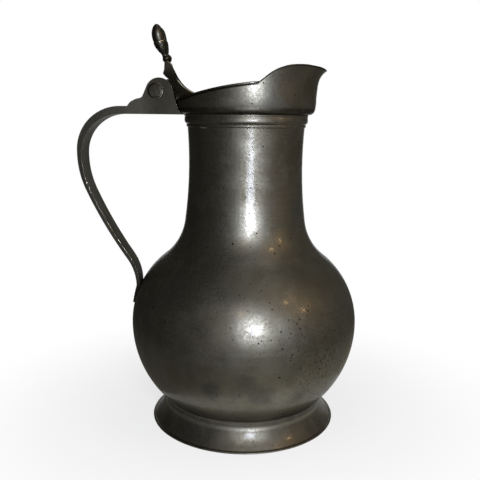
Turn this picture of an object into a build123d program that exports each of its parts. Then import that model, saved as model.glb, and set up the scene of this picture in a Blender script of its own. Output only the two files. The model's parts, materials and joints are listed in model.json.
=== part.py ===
"""A lidded pewter flagon: a round-bellied jug on a spread foot, with a strap handle, a beaked mouth and a
hinged lid raised by a twin-acorn thumbpiece.

Millimetres. The origin is the centre of the foot on the table, +Z is up and +X points to the spout, so the
handle is at -X and the hinge pin lies along Y.
"""

import os
from math import cos, exp, hypot, radians, sin, sqrt

from build123d import *

# Driving dimensions

# belly and neck, outside
belly_radius = 79.0
belly_height = 71.0  # height of the widest circle, where the two halves are soldered
lower_belly_arc = 72.6  # radius of the curve below the widest circle
upper_belly_arc = 58.6  # radius of the curve above it
shoulder_arc = 38.4  # hollow curve from belly to neck
neck_radius = 38.85  # at the narrowest place
neck_waist_height = 183.5
neck_arc = 300.0  # slow hollow curve of the neck
neck_top = 214.6
body_wall = 2.4
floor_height = 9.0  # underside of the jug's floor above the table
floor_corner = 14.0  # rounding between floor and belly
seam_lap = 3.0  # depth of the stepped joint between the halves
solder_gap = 0.05  # film between parts that are soldered together

# closing disc in the floor
disc_radius = 21.0
disc_step = 1.5  # width of the step it lies on

# foot
foot_radius = 65.2
foot_lip_height = 1.35
foot_groove = 0.7  # width of the groove over the lip
foot_wall = 2.3
drum_radius = 55.9  # upright part under the belly
flange_height = 12.8  # top of the spread part

# moulded ring round the top of the neck
ring_height = 9.0
ring_radius = 41.9
ring_bead_radius = 40.55
ring_bead_height = 2.2

# mouth piece; heights are measured up from the top of the neck
collar_radius = 47.05
collar_wall = 1.8
collar_foot_radius = 42.0  # where it stands on the ring
collar_swell = 5.6  # height of the rounded underside
spout_start = 11.4  # below this the mouth piece is round
spout_tip_rise = 29.6
spout_reach = 7.75  # how far the tip stands out past the collar
spout_flare = 3.6  # height over which the lip turns out
spout_half_angle = 27.0
wing_swell = 1.7  # how far the sides of the spout are drawn out
wing_angle = 66.0
wing_width = 26.0  # degrees
rim_back_rise = 7.5
rim_shoulder_x = 6.0  # the corner where the spout's wings rise
rim_shoulder_rise = 18.5
rim_bow = 1.5  # how much the rim arches between the back and that corner
wing_rise = 31.0  # highest place of the wings

# lid
lid_edge = 0.95
lid_inset = 0.4  # its edge stands this far inside the edge of the rim
lid_seat = 0.3  # clearance over the rim
lid_clearance = 0.9  # between the lid's tongue and the walls of the spout
lid_flange_depth = 2.0  # locating flange under the lid
lid_flange_wall = 1.5
boss_radius = 25.0  # raised disc in the middle of the lid
boss_height = 0.5
dome_height = 1.9
dome_curve = 110.0

# hinge
pin_back = 12.9  # from the collar to the pin's axis
pin_rise = 14.8  # above the top of the neck
pin_radius = 2.0
pin_fit = 0.07  # running clearance, on the radius
pin_head_radius = 4.7
pin_head_height = 1.15
washer_radius = 5.3
washer_thickness = 0.9
ear_radius = 9.4
ear_thickness = 5.5
knuckle_radius = 7.5
knuckle_side_gap = 0.3

# handle
strap_width = 22.0
strap_thickness = 3.0  # at the back
strap_thin = 2.45  # below the bends
strap_root = 5.15  # in the level part
strap_rise = 4.7  # upper face of the level part, above the top of the neck
strap_reach = 34.25  # how far the handle stands out past the belly
bend_radius = 29.6  # outside of the top bend
long_bend = 61.1  # radius below the top bend
long_bend_drop = 2.25  # upright stretch between the two
strap_slope = 24.0  # degrees from upright at the end of the long bend
strap_low_slope = 34.4  # degrees from upright above the elbow, reached in a slow curve
elbow_radius = 33.4
elbow_rise = 44.1  # start of the elbow above the widest circle
elbow_width = 16.4  # the strap narrows to this at the elbow
tail_rise = 10.5  # lowest point of the handle above the widest circle
tail_width = 7.0
tail_thickness = 1.3

# thumbpiece
thumb_width = 23.0  # at the lid
thumb_neck_width = 9.5
thumb_neck_thickness = 4.5
thumb_rise = 17.6  # from the pin's axis to the neck
thumb_toe = 14.6  # how far the wedge runs in over the lid
knop_radius = 3.1
knop_half_width = 5.9
acorn_length = 19.3
acorn_radius = 4.15
acorn_splay = 15.0  # degrees outward, each
acorn_lean = 17.0  # degrees back over the handle
acorn_spacing = 6.6  # between the two stalks

# places that follow from these
spout_tip = (collar_radius + spout_reach, neck_top + spout_tip_rise)
strap_top = neck_top + strap_rise
pin_x = -collar_radius - pin_back
pin_z = neck_top + pin_rise
slot_width = strap_width - 2 * ear_thickness

FLAT = (Align.CENTER, Align.CENTER, Align.MIN)  # a shape that stands on its own base
BEYOND = 5 * belly_radius  # reaches past the whole object, for cutting tools


# Helpers


def on_xz(sketch_lines):
    """A face in the XZ plane from lines given as (x, z)."""
    return Plane.XZ * make_face(sketch_lines)


def turned(outline):
    """A solid turned about Z from lines given as (radius, height)."""
    return revolve(on_xz(outline), Axis.Z)


def slab(outline, half_width):
    """A face drawn as (x, z), given the same width each side of the XZ plane."""
    return extrude(on_xz(outline), amount=half_width, both=True)


def meet(centre_a, radius_a, centre_b, radius_b):
    """The upper left crossing of two circles."""
    dx, dz = centre_b[0] - centre_a[0], centre_b[1] - centre_a[1]
    apart = hypot(dx, dz)
    along = (radius_a**2 - radius_b**2 + apart**2) / (2 * apart)
    aside = sqrt(radius_a**2 - along**2)
    ux, uz = dx / apart, dz / apart
    return (centre_a[0] + along * ux - aside * uz, centre_a[1] + along * uz + aside * ux)


def toward(centre, point, distance):
    """The point that lies a distance from centre on the way to point."""
    scale = distance / hypot(point[0] - centre[0], point[1] - centre[1])
    return (centre[0] + (point[0] - centre[0]) * scale, centre[1] + (point[1] - centre[1]) * scale)


def arc(centre, radius, start, end):
    """The shorter arc about centre between two points at that radius."""
    middle = toward(centre, ((start[0] + end[0]) / 2, (start[1] + end[1]) / 2), radius)
    return ThreePointArc(start, middle, end)


# Body: one outline, drawn again at each offset


def body_outline(inset):
    """The closed half section of the jug, its surface moved inward by inset. Returns lines as (radius, z)."""
    low_centre = (belly_radius - lower_belly_arc, belly_height)
    high_centre = (belly_radius - upper_belly_arc, belly_height)
    neck_centre = (neck_radius + neck_arc, neck_waist_height)
    hollow_centre = meet(high_centre, upper_belly_arc + shoulder_arc, neck_centre, neck_arc - shoulder_arc)
    low, high = lower_belly_arc - inset, upper_belly_arc - inset
    hollow, neck = shoulder_arc + inset, neck_arc + inset

    floor = floor_height + inset
    corner = floor_corner - inset
    corner_z = floor + corner
    corner_x = low_centre[0] + sqrt((low - corner) ** 2 - (belly_height - corner_z) ** 2)
    corner_centre = (corner_x, corner_z)
    floor_end = (corner_x, floor)
    belly_start = toward(low_centre, corner_centre, low)
    widest = (belly_radius - inset, belly_height)
    shoulder = toward(high_centre, hollow_centre, high)
    throat = toward(neck_centre, hollow_centre, neck)
    lip = (neck_centre[0] - sqrt(neck**2 - (neck_top - neck_waist_height) ** 2), neck_top)
    return [
        Line((0, floor), floor_end),
        arc(corner_centre, corner, floor_end, belly_start),
        arc(low_centre, low, belly_start, widest),
        arc(high_centre, high, widest, shoulder),
        arc(hollow_centre, hollow, shoulder, throat),
        arc(neck_centre, neck, throat, lip),
        Line(lip, (0, neck_top)),
        Line((0, neck_top), (0, floor)),
    ]


def body_solid(inset):
    return turned(body_outline(inset))


def neck_radius_at(height):
    centre = neck_radius + neck_arc
    return centre - sqrt(neck_arc**2 - (height - neck_waist_height) ** 2)


def drum(radius, low, high):
    """An upright cylinder between two heights."""
    return Pos(0, 0, low) * Cylinder(radius, high - low, align=FLAT)


def make_halves():
    """The lower bowl and the upper body, with a stepped joint at the widest circle."""
    throat = drum(neck_radius_at(neck_top) - body_wall, neck_top - 2 * body_wall, neck_top + body_wall)
    shell = body_solid(0) - body_solid(body_wall) - throat
    below = drum(2 * belly_radius, -belly_height, belly_height)
    lap_top = belly_height + seam_lap
    mid_wall = belly_radius - body_wall / 2
    lower = (shell & below) + ((shell - below) & drum(mid_wall - solder_gap / 2, 0, lap_top))
    upper = shell - below - drum(mid_wall + solder_gap / 2, 0, lap_top + solder_gap)
    hole = drum(disc_radius - disc_step, 0, floor_height + 2 * body_wall)
    seat = drum(disc_radius, 0, floor_height + body_wall / 2)
    return lower - hole - seat, upper


def make_base_disc():
    """The stepped disc that closes the hole by which the bowl was held in the lathe."""
    disc = drum(disc_radius - solder_gap, floor_height, floor_height + body_wall / 2 - solder_gap)
    return disc + drum(disc_radius - disc_step - solder_gap, floor_height, floor_height + body_wall)


# Foot


def make_foot():
    """The cast foot: a lip on the table, a groove, a hollow flange and a drum that the belly sits in."""
    lip = foot_lip_height
    spread = foot_radius - drum_radius
    lip_edge = (foot_radius, 0.15 * lip)
    lip_top = (foot_radius - 0.8 * lip, 0.95 * lip)
    groove = (lip_top[0] - foot_groove, lip)
    steps = [(0.613, 0.211), (0.409, 0.383), (0.237, 0.594), (0.118, 0.797), (0.048, 0.93)]
    flange = [(drum_radius + spread * u, flange_height * h) for u, h in steps]
    drum_low = (drum_radius, flange_height)
    drum_high = (drum_radius, 2 * flange_height)
    inner_high = (drum_radius - foot_wall, 2 * flange_height)
    inner_low = (drum_radius - foot_wall, flange_height)
    inner_shoulder = (drum_radius + 0.16 * spread - foot_wall, 0.66 * flange_height)
    inner_lip = (foot_radius - 1.4 * foot_wall, 0)
    outline = [
        Line((foot_radius, 0), lip_edge),
        ThreePointArc(lip_edge, (foot_radius - 0.3 * lip, 0.62 * lip), lip_top),
        Line(lip_top, groove),
        Spline([groove, *flange, drum_low]),
        Line(drum_low, drum_high),
        Line(drum_high, inner_high),
        Line(inner_high, inner_low),
        Line(inner_low, inner_shoulder),
        ThreePointArc(inner_shoulder, (foot_radius - 0.81 * spread, 0.2 * flange_height), inner_lip),
        Line(inner_lip, (foot_radius, 0)),
    ]
    return turned(outline) - body_solid(-solder_gap)


# Ring round the neck


def make_neck_ring():
    """The moulded hoop that covers the joint between the neck and the mouth piece."""
    low = neck_top - ring_height
    bead_top = low + ring_bead_height
    start = (neck_radius_at(low) + 0.03 * ring_height, low)
    bead_middle = (ring_bead_radius + 0.1 * ring_bead_height, low + ring_bead_height / 2)
    bead_end = (ring_bead_radius - 0.14 * ring_bead_height, bead_top)
    band_low = (ring_radius - 0.05 * ring_height, bead_top + 0.06 * ring_height)
    band = (ring_radius, bead_top + 0.19 * ring_height)
    inner = 0.95 * neck_radius
    outline = [
        Line((inner, low), start),
        ThreePointArc(start, bead_middle, bead_end),
        Line(bead_end, band_low),
        Line(band_low, band),
        Line(band, (ring_radius, neck_top)),
        Line((ring_radius, neck_top), (inner, neck_top)),
        Line((inner, neck_top), (inner, low)),
    ]
    return turned(outline) - body_solid(-solder_gap)


# Mouth piece with the spout


def spout_line(rise):
    """How far the middle of the spout stands out past the collar, at a height above the neck."""
    up = max(0.0, rise - spout_start)
    flare = exp((rise - spout_tip_rise) / spout_flare) - exp((spout_start - spout_tip_rise) / spout_flare)
    steady = 0.19 * spout_reach / (spout_tip_rise - spout_start)
    return steady * up + 0.81 * spout_reach * max(0.0, flare)


def mouth_radius(angle, rise):
    """The outside radius of the mouth piece at an angle from the spout, in degrees."""
    angle = abs((angle + 180) % 360 - 180)
    short = 1.0 - min(1.0, max(0.0, rise / collar_swell))
    base = collar_foot_radius + (collar_radius - collar_foot_radius) * sqrt(1.0 - short**2.4)
    nose = exp(-((angle / spout_half_angle) ** 1.7))
    wing = exp(-(((angle - wing_angle) / wing_width) ** 2))
    grown = max(0.0, rise - spout_start) / (spout_tip_rise - spout_start)
    return base + spout_line(rise) * nose + wing_swell * grown**2 * wing


def mouth_plan(inset, rise, points=40):
    """The plan of the mouth piece at a height above the neck, its outline moved inward by inset."""
    angles = [360 * i / points for i in range(points)]
    radii = [mouth_radius(a, rise) - inset for a in angles]
    loop = [Vector(r * cos(radians(a)), r * sin(radians(a)), 0) for a, r in zip(angles, radii)]
    return Face(Wire([Edge.make_spline(loop, periodic=True)]))


def mouth_solid(inset, lift=0.0):
    """The mouth piece as a filled solid, from the ring it stands on to above its rim."""
    over = wing_rise + 0.27 * collar_swell - spout_start
    swell = [collar_swell * t for t in (0, 0.04, 0.13, 0.28, 0.5, 0.74, 1.0)]
    beak = [spout_start + over * t for t in (0.0, 0.2, 0.38, 0.54, 0.68, 0.8, 0.9, 1.0)]
    return loft([Pos(0, 0, neck_top + h + lift) * mouth_plan(inset, h) for h in swell + beak])


def rim_circle():
    """Centre and radius of the bowed stretch of the rim, as (x, z), radius."""
    back = (-collar_radius, neck_top + rim_back_rise)
    corner = (rim_shoulder_x, neck_top + rim_shoulder_rise)
    chord = hypot(corner[0] - back[0], corner[1] - back[1])
    radius = chord**2 / (8 * rim_bow) + rim_bow / 2
    reach = radius - rim_bow
    x = (back[0] + corner[0]) / 2 + reach * (corner[1] - back[1]) / chord
    z = (back[1] + corner[1]) / 2 - reach * (corner[0] - back[0]) / chord
    return (x, z), radius


def over_rim(x, lift=0.0):
    """The point (x, z) that lies a distance lift above the bowed rim line."""
    centre, radius = rim_circle()
    return (x, centre[1] + sqrt((radius + lift) ** 2 - (x - centre[0]) ** 2))


def above_rim():
    """Everything above the rim of the mouth piece, as a cutting tool."""
    back = over_rim(-1.3 * collar_radius)
    corner = (rim_shoulder_x, neck_top + rim_shoulder_rise)
    run = spout_tip[0] - rim_shoulder_x
    climb = wing_rise - rim_shoulder_rise
    across = [0.08, 0.155, 0.225, 0.31, 0.43, 0.58, 0.74]
    upward = [0.22, 0.45, 0.625, 0.775, 0.92, 0.995, 1.0]
    wing = [(corner[0] + run * u, corner[1] + climb * w) for u, w in zip(across, upward)]
    front = (spout_tip[0] + 2.6 * spout_reach, spout_tip[1] - 0.9 * spout_reach)
    centre, radius = rim_circle()
    outline = [
        arc(centre, radius, back, corner),
        Spline([corner, *wing, spout_tip, front]),
        Line(front, (front[0], BEYOND)),
        Line((front[0], BEYOND), (back[0], BEYOND)),
        Line((back[0], BEYOND), back),
    ]
    return slab(outline, 2 * collar_radius)


def make_mouth_collar():
    throat = drum(neck_radius_at(neck_top) - body_wall, neck_top - collar_wall, neck_top + 2 * collar_wall)
    return mouth_solid(0) - mouth_solid(collar_wall, collar_wall) - throat - above_rim()


# Lid


def upright(plan):
    """A prism on a plan, through every height that the lid reaches."""
    return Pos(0, 0, neck_top - collar_radius) * extrude(plan, amount=3 * collar_radius)


def bowed_sheet(low, high):
    """A sheet that follows the bow of the rim, between two distances above it."""
    centre, radius = rim_circle()
    reach = 1.1 * collar_radius
    start, end, over_end, over_start = (
        over_rim(-reach, low),
        over_rim(reach, low),
        over_rim(reach, high),
        over_rim(-reach, high),
    )
    outline = [
        arc(centre, radius + low, start, end),
        Line(end, over_end),
        arc(centre, radius + high, over_end, over_start),
        Line(over_start, start),
    ]
    return slab(outline, 2 * collar_radius)


def make_lid_plate():
    """The lid: level with the rim behind the wings, a tongue between them, and a flange that drops inside."""
    edge = collar_wall + lid_clearance
    split = rim_shoulder_x - lid_clearance
    top = lid_seat + lid_edge
    sunk = lid_seat + lid_edge / 2
    behind = Pos(split, 0) * Rectangle(BEYOND, BEYOND, align=(Align.MAX, Align.CENTER))
    rear = Circle(collar_radius - lid_inset) & behind
    tongue = mouth_plan(edge, rim_shoulder_rise)
    plate = upright(rear + tongue) & bowed_sheet(lid_seat, top)
    band = upright(tongue) - upright(mouth_plan(edge + lid_flange_wall, rim_shoulder_rise))
    flange = band & bowed_sheet(lid_seat - lid_flange_depth, sunk)
    middle = -0.08 * boss_radius
    boss = upright(Pos(middle, 0) * Circle(boss_radius)) & bowed_sheet(sunk, top + boss_height)
    centre, radius = rim_circle()
    ball = toward(centre, over_rim(middle), radius + top + dome_height - dome_curve)
    dome = Pos(ball[0], 0, ball[1]) * Sphere(dome_curve) & bowed_sheet(sunk, 2 * (top + dome_height))
    return plate + flange + boss + dome


def pin_bore(radius, length):
    """A cylinder on the hinge axis."""
    return Pos(pin_x, 0, pin_z) * Rot(90, 0, 0) * Cylinder(radius, length)


def from_pin(x, z):
    """A point given in thumb rises from the pin's axis."""
    return (pin_x + x * thumb_rise, pin_z + z * thumb_rise)


def thumb_back():
    """The side of the thumbpiece that faces the hinge, from the lid up, as (x, z)."""
    steps = [(0.758, -0.057), (0.627, 0.199), (0.452, 0.443), (0.236, 0.62)]
    return [over_rim(from_pin(0.793, 0)[0], lid_seat + lid_edge + solder_gap)] + [from_pin(*p) for p in steps]


def make_lid_lug():
    """The middle knuckle of the hinge, with the web that joins it to the lid under the thumbpiece."""
    half = slot_width / 2 - knuckle_side_gap
    seat = lid_seat + lid_edge + solder_gap
    back = thumb_back()
    low, high = (pin_x, pin_z - 0.73 * knuckle_radius), (pin_x, pin_z + 0.9 * knuckle_radius)
    heel = over_rim(-collar_radius - lid_seat, seat)
    toe = over_rim(back[0][0] + lid_edge, seat)
    web = [
        Line(low, heel),
        Line(heel, toe),
        Line(toe, back[1]),
        Line(back[1], back[2]),
        Line(back[2], back[3]),
        Line(back[3], high),
        Line(high, low),
    ]
    lug = slab(web, half) + pin_bore(knuckle_radius, 2 * half)
    return lug - pin_bore(pin_radius + pin_fit, strap_width) - thumb_wedge()


# Thumbpiece


def thumb_wedge():
    """The wedge of the thumbpiece in side view, at its full width."""
    seat = lid_seat + lid_edge + solder_gap
    back = thumb_back()
    toe = over_rim(-collar_radius + thumb_toe, seat)
    waist, neck_back = from_pin(0.288, 0.79), from_pin(0.295, 1.14)
    neck_front = (neck_back[0] + thumb_neck_thickness, neck_back[1])
    centre, radius = rim_circle()
    outline = [
        Polyline(back),
        ThreePointArc(back[-1], waist, neck_back),
        Line(neck_back, neck_front),
        Spline([neck_front, from_pin(0.679, 0.72), from_pin(0.9, 0.36), from_pin(1.19, 0.08), toe]),
        arc(centre, radius + seat, toe, back[0]),
    ]
    return slab(outline, thumb_width / 2)


def acorn():
    """One acorn standing on its stalk at the origin: a cup, a groove at its brim and a round nut."""
    brim = 0.455 * acorn_length
    stalk = 0.46 * acorn_radius
    root = (stalk - 0.04 * acorn_radius, -0.12 * acorn_length)
    cup = (0.97 * acorn_radius, brim - 0.02 * acorn_length)
    groove = (0.88 * acorn_radius, brim)
    nut = (0.83 * acorn_radius, brim + 0.016 * acorn_length)
    cap = (0.56 * acorn_radius, 0.92 * acorn_length)
    tip = (0.1 * acorn_radius, acorn_length)
    outline = [
        Line((0, root[1]), root),
        Line(root, (stalk, 0)),
        ThreePointArc((stalk, 0), (0.8 * acorn_radius, 0.2 * acorn_length), cup),
        Line(cup, groove),
        Line(groove, nut),
        ThreePointArc(nut, (0.93 * acorn_radius, 0.7 * acorn_length), cap),
        ThreePointArc(cap, (0.36 * acorn_radius, 0.975 * acorn_length), tip),
        Line(tip, (0, 1.006 * acorn_length)),
        Line((0, 1.006 * acorn_length), (0, root[1])),
    ]
    return turned(outline)


def make_thumbpiece():
    """The cast thumbpiece: a wedge on the lid, a knop at its neck and two splayed acorns."""
    foot_z = over_rim(pin_x + pin_back)[1]
    neck_z = pin_z + thumb_rise
    foot, neck = thumb_width / 2, thumb_neck_width / 2
    flare = (1.25 * neck, neck_z - 0.35 * thumb_rise)
    straight = foot_z + 0.2 * thumb_rise
    front_view = Polyline(
        [
            (-foot, foot_z - thumb_rise),
            (foot, foot_z - thumb_rise),
            (foot, straight),
            flare,
            (neck, neck_z),
            (0.8 * neck, neck_z + knop_radius),
            (-0.8 * neck, neck_z + knop_radius),
            (-neck, neck_z),
            (-flare[0], flare[1]),
            (-foot, straight),
            (-foot, foot_z - thumb_rise),
        ]
    )
    front_face = Plane.YZ * make_face([front_view])
    wedge = thumb_wedge() & extrude(front_face, amount=BEYOND, both=True)
    knop_x, knop_z = from_pin(0.378, 1.2)
    knop = scale(Sphere(1), (knop_radius, knop_half_width, knop_radius))
    piece = wedge + Pos(knop_x, 0, knop_z) * Rot(0, -acorn_lean, 0) * knop
    stalk_x, stalk_z = from_pin(0.241, 1.398)
    for side in (-1, 1):
        stalk = Pos(stalk_x, side * acorn_spacing / 2, stalk_z)
        piece += stalk * Rot(0, -acorn_lean, 0) * Rot(-side * acorn_splay, 0, 0) * acorn()
    return piece


# Hinge pin and washers


def make_pin():
    """The rivet through the hinge, with a domed head hammered over each washer."""
    face = strap_width / 2 + washer_thickness
    ball_radius = (pin_head_radius**2 + pin_head_height**2) / (2 * pin_head_height)
    pin = pin_bore(pin_radius, 2 * face)
    for side in (-1, 1):
        ball = Pos(pin_x, side * (face + pin_head_height - ball_radius), pin_z) * Sphere(ball_radius)
        beyond = Box(3 * ball_radius, 2 * ball_radius, 3 * ball_radius)
        pin += ball & Pos(pin_x, side * (face + ball_radius), pin_z) * beyond
    return pin


def make_washer(side):
    middle = side * (strap_width / 2 + washer_thickness / 2)
    ring = Cylinder(washer_radius, washer_thickness) - Cylinder(pin_radius + pin_fit, washer_thickness)
    disc = Pos(pin_x, middle, pin_z) * Rot(90, 0, 0) * ring
    edges = [e for e in disc.edges().filter_by(GeomType.CIRCLE).sort_by(Axis.Y) if e.radius > pin_head_radius]
    return chamfer(edges[0 if side < 0 else -1], 0.28 * washer_thickness)


# Handle


def ear_outline():
    """The side view of a hinge ear, with its stepped shoulder on the handle, as lines in (x, z)."""
    centre = (pin_x + 0.252 * ear_radius, pin_z - 0.13 * ear_radius)

    def at(angle, reach=1.0):
        turn = radians(angle)
        return (centre[0] + reach * ear_radius * cos(turn), centre[1] + reach * ear_radius * sin(turn))

    base = strap_top - strap_root / 2
    left, top, right = at(157, 0.99), at(100, 1.03), at(20, 0.97)
    toe = (-collar_radius + collar_wall, strap_top)
    step_end = (pin_x - 2.03 * ear_radius, strap_top)
    step = [at(199, 2.25), at(197.1, 2.09), at(194.9, 1.7), at(195.5, 1.39)]
    flank = [at(194, 1.27), at(188, 1.16), at(180.5, 1.08)]
    return [
        ThreePointArc(left, top, right),
        Line(right, at(-33, 1.42)),
        Line(at(-33, 1.42), toe),
        Line(toe, (toe[0], base)),
        Line((toe[0], base), (step_end[0], base)),
        Line((step_end[0], base), step_end),
        Polyline([step_end, *step, *flank, left]),
    ]


def strap_outline():
    """The side view of the strap, from the mouth piece round the back to its tail on the belly."""
    slope, low_slope = radians(strap_slope), radians(strap_low_slope)
    back = -belly_radius - strap_reach
    bend_centre = (back + bend_radius, strap_top - bend_radius)
    bend_end = (back, bend_centre[1])
    long_centre = (back + long_bend, bend_end[1] - long_bend_drop)
    long_start = (back, long_centre[1])
    long_end = (long_centre[0] - long_bend * cos(slope), long_centre[1] - long_bend * sin(slope))
    elbow_height = belly_height + elbow_rise
    slow = (long_end[1] - elbow_height) / (sin(low_slope) - sin(slope))
    slow_centre = (long_end[0] + slow * cos(slope), long_end[1] + slow * sin(slope))
    elbow_start = (slow_centre[0] - slow * cos(low_slope), elbow_height)
    elbow_centre = toward(slow_centre, elbow_start, slow + elbow_radius)
    elbow_end = (elbow_centre[0] + elbow_radius, elbow_centre[1])
    tail_end = belly_height + tail_rise
    tail = (-belly_radius + tail_rise**2 / (2 * upper_belly_arc) - tail_thickness, tail_end)
    tail_middle = ((elbow_end[0] + tail[0]) / 2 - 0.1 * tail_thickness, (elbow_end[1] + tail_end) / 2)
    tail_inner = (tail[0] + 6 * body_wall, tail_end - strap_thin)

    level_in = (bend_centre[0], strap_top - strap_root)
    inner_bend = bend_radius - 1.43 * strap_thickness
    bend_mid = toward(bend_centre, (bend_centre[0] - 1.52, bend_centre[1] + 1.0), inner_bend)
    bend_in = (back + strap_thickness, bend_end[1])
    long_mid = toward(long_centre, (long_centre[0] - 1, long_centre[1] - sin(slope / 2)), long_bend)
    inner_mid = toward(long_centre, long_mid, long_bend - (strap_thickness + strap_thin) / 2)
    long_in = toward(long_centre, long_end, long_bend - strap_thin)
    inner_elbow = elbow_radius + strap_thin
    elbow_in = toward(elbow_centre, elbow_start, inner_elbow)
    elbow_in_end = (elbow_centre[0] + inner_elbow, elbow_centre[1])
    end_x = -collar_foot_radius + 2 * collar_wall
    return [
        Line((end_x, strap_top), (bend_centre[0], strap_top)),
        arc(bend_centre, bend_radius, (bend_centre[0], strap_top), bend_end),
        Line(bend_end, long_start),
        arc(long_centre, long_bend, long_start, long_end),
        arc(slow_centre, slow, long_end, elbow_start),
        arc(elbow_centre, elbow_radius, elbow_start, elbow_end),
        ThreePointArc(elbow_end, tail_middle, tail),
        Line(tail, tail_inner),
        Line(tail_inner, elbow_in_end),
        arc(elbow_centre, inner_elbow, elbow_in_end, elbow_in),
        arc(slow_centre, slow - strap_thin, elbow_in, long_in),
        ThreePointArc(long_in, inner_mid, bend_in),
        ThreePointArc(bend_in, bend_mid, level_in),
        Line(level_in, (end_x, strap_top - strap_root)),
        Line((end_x, strap_top - strap_root), (end_x, strap_top)),
    ]


def tail_taper():
    """The front view that narrows the strap to the elbow, and there to a rounded end on the belly."""
    wide, half, end = strap_width / 2, elbow_width / 2, tail_width / 2
    low = belly_height + tail_rise
    start, top = low + strap_width, strap_top - bend_radius
    side = ((half + end) / 2 + 0.13 * half, (start + low) / 2 + 0.04 * strap_width)
    corner = (end, low + 0.6 * end)
    face = make_face(
        [
            Line((-wide, BEYOND), (-wide, top)),
            Line((-wide, top), (-half, start)),
            ThreePointArc((-half, start), (-side[0], side[1]), (-corner[0], corner[1])),
            ThreePointArc((-corner[0], corner[1]), (0, low), corner),
            ThreePointArc(corner, side, (half, start)),
            Line((half, start), (wide, top)),
            Line((wide, top), (wide, BEYOND)),
            Line((wide, BEYOND), (-wide, BEYOND)),
        ]
    )
    return extrude(Plane.YZ * face, amount=BEYOND, both=True)


def make_handle():
    """The cast handle: the strap with the two hinge ears on its level part."""
    half = strap_width / 2
    strap = slab(strap_outline(), half) & tail_taper()
    slot = Pos(pin_x, 0, strap_top) * Box(8 * ear_radius, slot_width, 4 * ear_radius, align=FLAT)
    handle = strap + (slab(ear_outline(), half) - slot)
    handle -= pin_bore(pin_radius + pin_fit, 2 * strap_width)
    handle -= body_solid(-solder_gap)
    handle -= drum(ring_radius + solder_gap, neck_top - 2 * ring_height, neck_top)
    handle -= mouth_solid(-solder_gap)
    return handle - drum(collar_radius + lid_seat, neck_top + rim_back_rise - lid_seat, BEYOND)


# Build and write


def main():
    lower_bowl, upper_body = make_halves()
    parts = {
        "foot_ring": make_foot(),
        "base_disc": make_base_disc(),
        "lower_bowl": lower_bowl,
        "upper_body": upper_body,
        "neck_ring": make_neck_ring(),
        "mouth_collar": make_mouth_collar(),
        "handle": make_handle(),
        "hinge_pin": make_pin(),
        "pin_washer_near": make_washer(-1),
        "pin_washer_far": make_washer(1),
        "lid_plate": make_lid_plate(),
        "lid_lug": make_lid_lug(),
        "thumbpiece": make_thumbpiece(),
    }
    os.makedirs("parts", exist_ok=True)
    for name, shape in parts.items():
        export_step(shape, f"parts/{name}.step")


main()
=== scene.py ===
# %% [markdown]
# # A lidded pewter flagon
#
# The flagon is a handful of turned and cast pewter parts, soldered together. The CAD model already holds
# them at their true size, and here they get the look of old pewter. The belly and neck keep their CAD
# shape, the plain cast parts get rounded edges, and the parts with a fine outline are modelled again.
# Everything is in metres, with the foot's centre at the origin, +Z up, the spout towards +X and the handle
# towards -X.

import bmesh
import bpy
import json
from math import atan2, cos, degrees, exp, hypot, pi, radians, sin, sqrt
from mathutils import Matrix, Vector, noise


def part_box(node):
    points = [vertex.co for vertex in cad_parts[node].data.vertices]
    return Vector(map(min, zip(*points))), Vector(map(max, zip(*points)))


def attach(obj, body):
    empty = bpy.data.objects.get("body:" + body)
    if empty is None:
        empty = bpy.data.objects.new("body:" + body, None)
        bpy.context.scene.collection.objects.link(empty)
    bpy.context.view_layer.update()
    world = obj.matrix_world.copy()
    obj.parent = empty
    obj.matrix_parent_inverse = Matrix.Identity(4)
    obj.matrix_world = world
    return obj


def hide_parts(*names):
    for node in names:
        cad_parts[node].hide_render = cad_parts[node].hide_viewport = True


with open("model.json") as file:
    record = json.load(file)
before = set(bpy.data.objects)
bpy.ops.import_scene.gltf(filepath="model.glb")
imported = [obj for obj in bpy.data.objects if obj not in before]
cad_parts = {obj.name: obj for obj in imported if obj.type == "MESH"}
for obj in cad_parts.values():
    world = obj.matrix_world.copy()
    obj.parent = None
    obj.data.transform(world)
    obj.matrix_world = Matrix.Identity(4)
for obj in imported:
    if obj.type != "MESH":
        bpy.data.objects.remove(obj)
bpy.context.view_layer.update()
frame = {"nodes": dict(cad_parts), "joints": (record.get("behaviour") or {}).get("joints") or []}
scene = bpy.context.scene
scene.view_settings.view_transform = "Standard"
mm = 0.001
print("parts:", sorted(frame["nodes"]))

# %% [markdown]
# ## The camera
#
# The picture was taken from close by and from the height of the hoop, so the foot is seen from above and
# the mouth almost edge on. A lens of 47.8 mm on a 36 mm sensor at 44 cm gives the same narrowing towards
# the foot. The camera is tipped 11 degrees down and leans a little, as a hand-held camera does.

# %% Camera
eye = Vector((0, -0.441, 0.2130))
pan = Matrix.Rotation(radians(0.379), 4, "Z")
tip = Matrix.Rotation(radians(79.031), 4, "X")
lean = Matrix.Rotation(radians(0.668), 4, "Z")
lens = bpy.data.cameras.new("Camera")
lens.lens = 47.81
lens.sensor_width = 36.0
lens.clip_start = 0.01
lens.shift_x = -0.00104
lens.shift_y = 0.00104
camera = bpy.data.objects.new("Camera", lens)
scene.collection.objects.link(camera)
camera.matrix_world = Matrix.Translation(eye) @ pan @ tip @ lean
scene.camera = camera
print("camera at", [round(v, 3) for v in eye])

# %% [markdown]
# ## Wiring shader nodes
#
# Every finish below is a network of nodes. They could be wired one by one, as in the shader editor, but
# that would fill pages. Making a node, setting its values and wiring its inputs always goes the same way,
# so a few helpers do it. In all of them an input may be a number, a colour or another node's output.


# %% Make and wire a node
def join(tree, socket, value):
    """Wires a node's output into a socket, or sets the socket to a value."""
    if isinstance(value, bpy.types.NodeSocket):
        tree.links.new(value, socket)
    else:
        socket.default_value = value


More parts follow.
